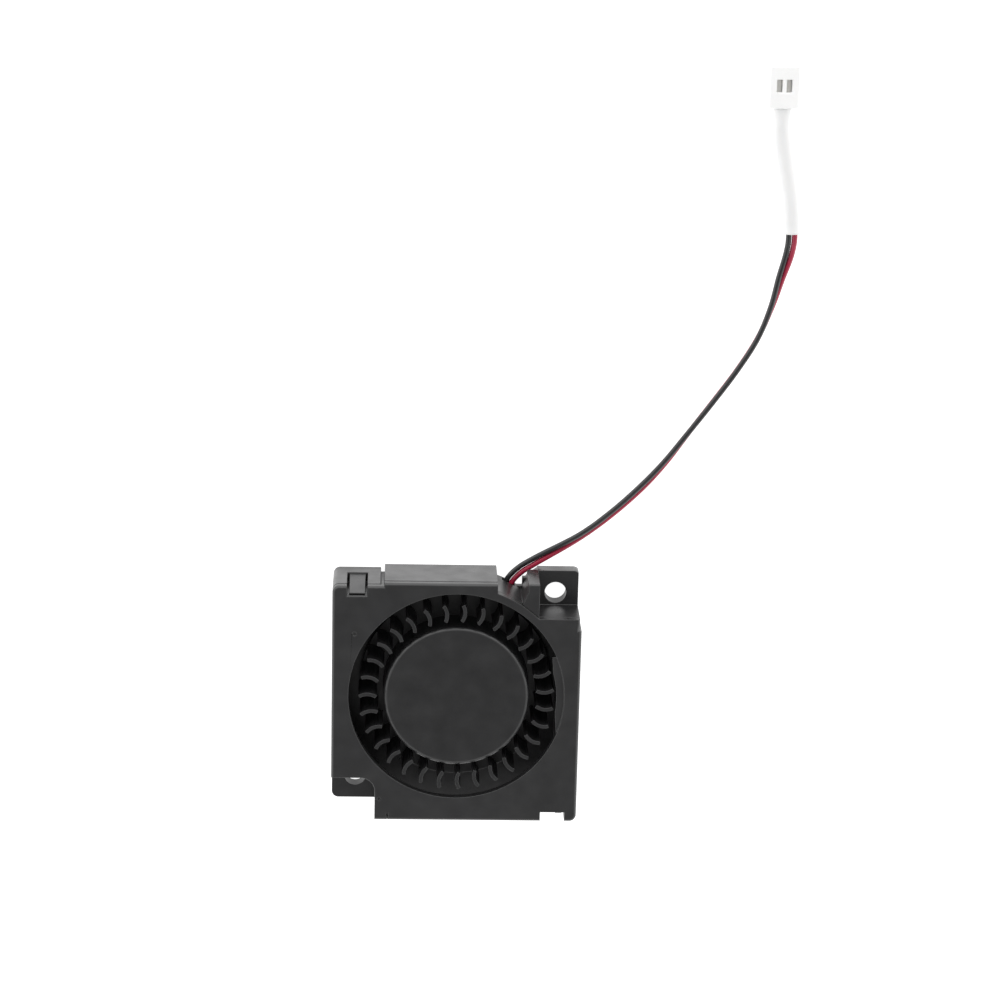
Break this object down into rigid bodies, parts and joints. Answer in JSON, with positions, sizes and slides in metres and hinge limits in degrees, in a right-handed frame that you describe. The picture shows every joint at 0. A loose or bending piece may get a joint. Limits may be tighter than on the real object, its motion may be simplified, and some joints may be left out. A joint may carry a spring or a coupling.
{
  "type": "radial blower fan",
  "caption": "Square radial blower fan with a round inlet, forward-curved impeller, side outlet, two diagonal mounting ears and a short two-wire lead with a white plug.",
  "frame": {"origin": "centre of the body's rear face", "axes": "+Z out of the air inlet, parallel to the rotor axis; the air outlet faces -Y; the lead leaves on the +Y side"},
  "size_m": [0.0729, 0.1229, 0.0102],
  "materials": {
    "housing_plastic": "fine satin moulded thermoplastic",
    "cover_plastic": "fine satin moulded thermoplastic",
    "rotor_plastic": "satin moulded thermoplastic",
    "steel": "drawn steel",
    "shaft_steel": "ground and polished",
    "ferrite": "bonded ferrite",
    "bronze": "sintered, oiled",
    "nylon": "natural nylon",
    "rubber": "soft",
    "lamination_steel": "stamped sheet",
    "copper": "enamelled copper wire",
    "board": "solder-masked laminate",
    "chip": "moulded epoxy",
    "ceramic": "fired ceramic",
    "solder": "bright solder",
    "label": "blank paper film",
    "red_pvc": "satin insulation",
    "black_pvc": "satin insulation",
    "white_sleeve": "satin heat-shrink sleeve",
    "white_nylon": "natural nylon, slightly translucent",
    "contact_metal": "tin-plated brass"
  },
  "bodies": {
    "housing": {"rear_housing": "housing_plastic", "front_cover": "cover_plastic", "sleeve_bearing": "bronze", "thrust_pad": "nylon", "oil_seal_ring": "rubber", "stator_laminations": "lamination_steel", "upper_insulator": "nylon", "lower_insulator": "nylon", "winding_1": "copper", "winding_2": "copper", "winding_3": "copper", "winding_4": "copper", "terminal_pins": "contact_metal", "circuit_board": "board", "driver_chip": "chip", "board_capacitor": "ceramic", "board_resistor": "chip", "solder_joints": "solder", "rear_label": "label", "wire_red": "red_pvc", "wire_black": "black_pvc", "wire_sleeve": "white_sleeve", "connector_housing": "white_nylon", "crimp_contacts": "contact_metal"},
    "rotor": {"impeller": "rotor_plastic", "rotor_yoke": "steel", "ring_magnet": "ferrite", "shaft": "shaft_steel", "lock_ring": "nylon"}
  },
  "joints": [
    {"name": "rotor_spin", "type": "hinge", "parent": "housing", "child": "rotor", "pos_m": [0.0001, 0.0009, 0.005], "axis": [0, 0, 1], "continuous": true}
  ]
}
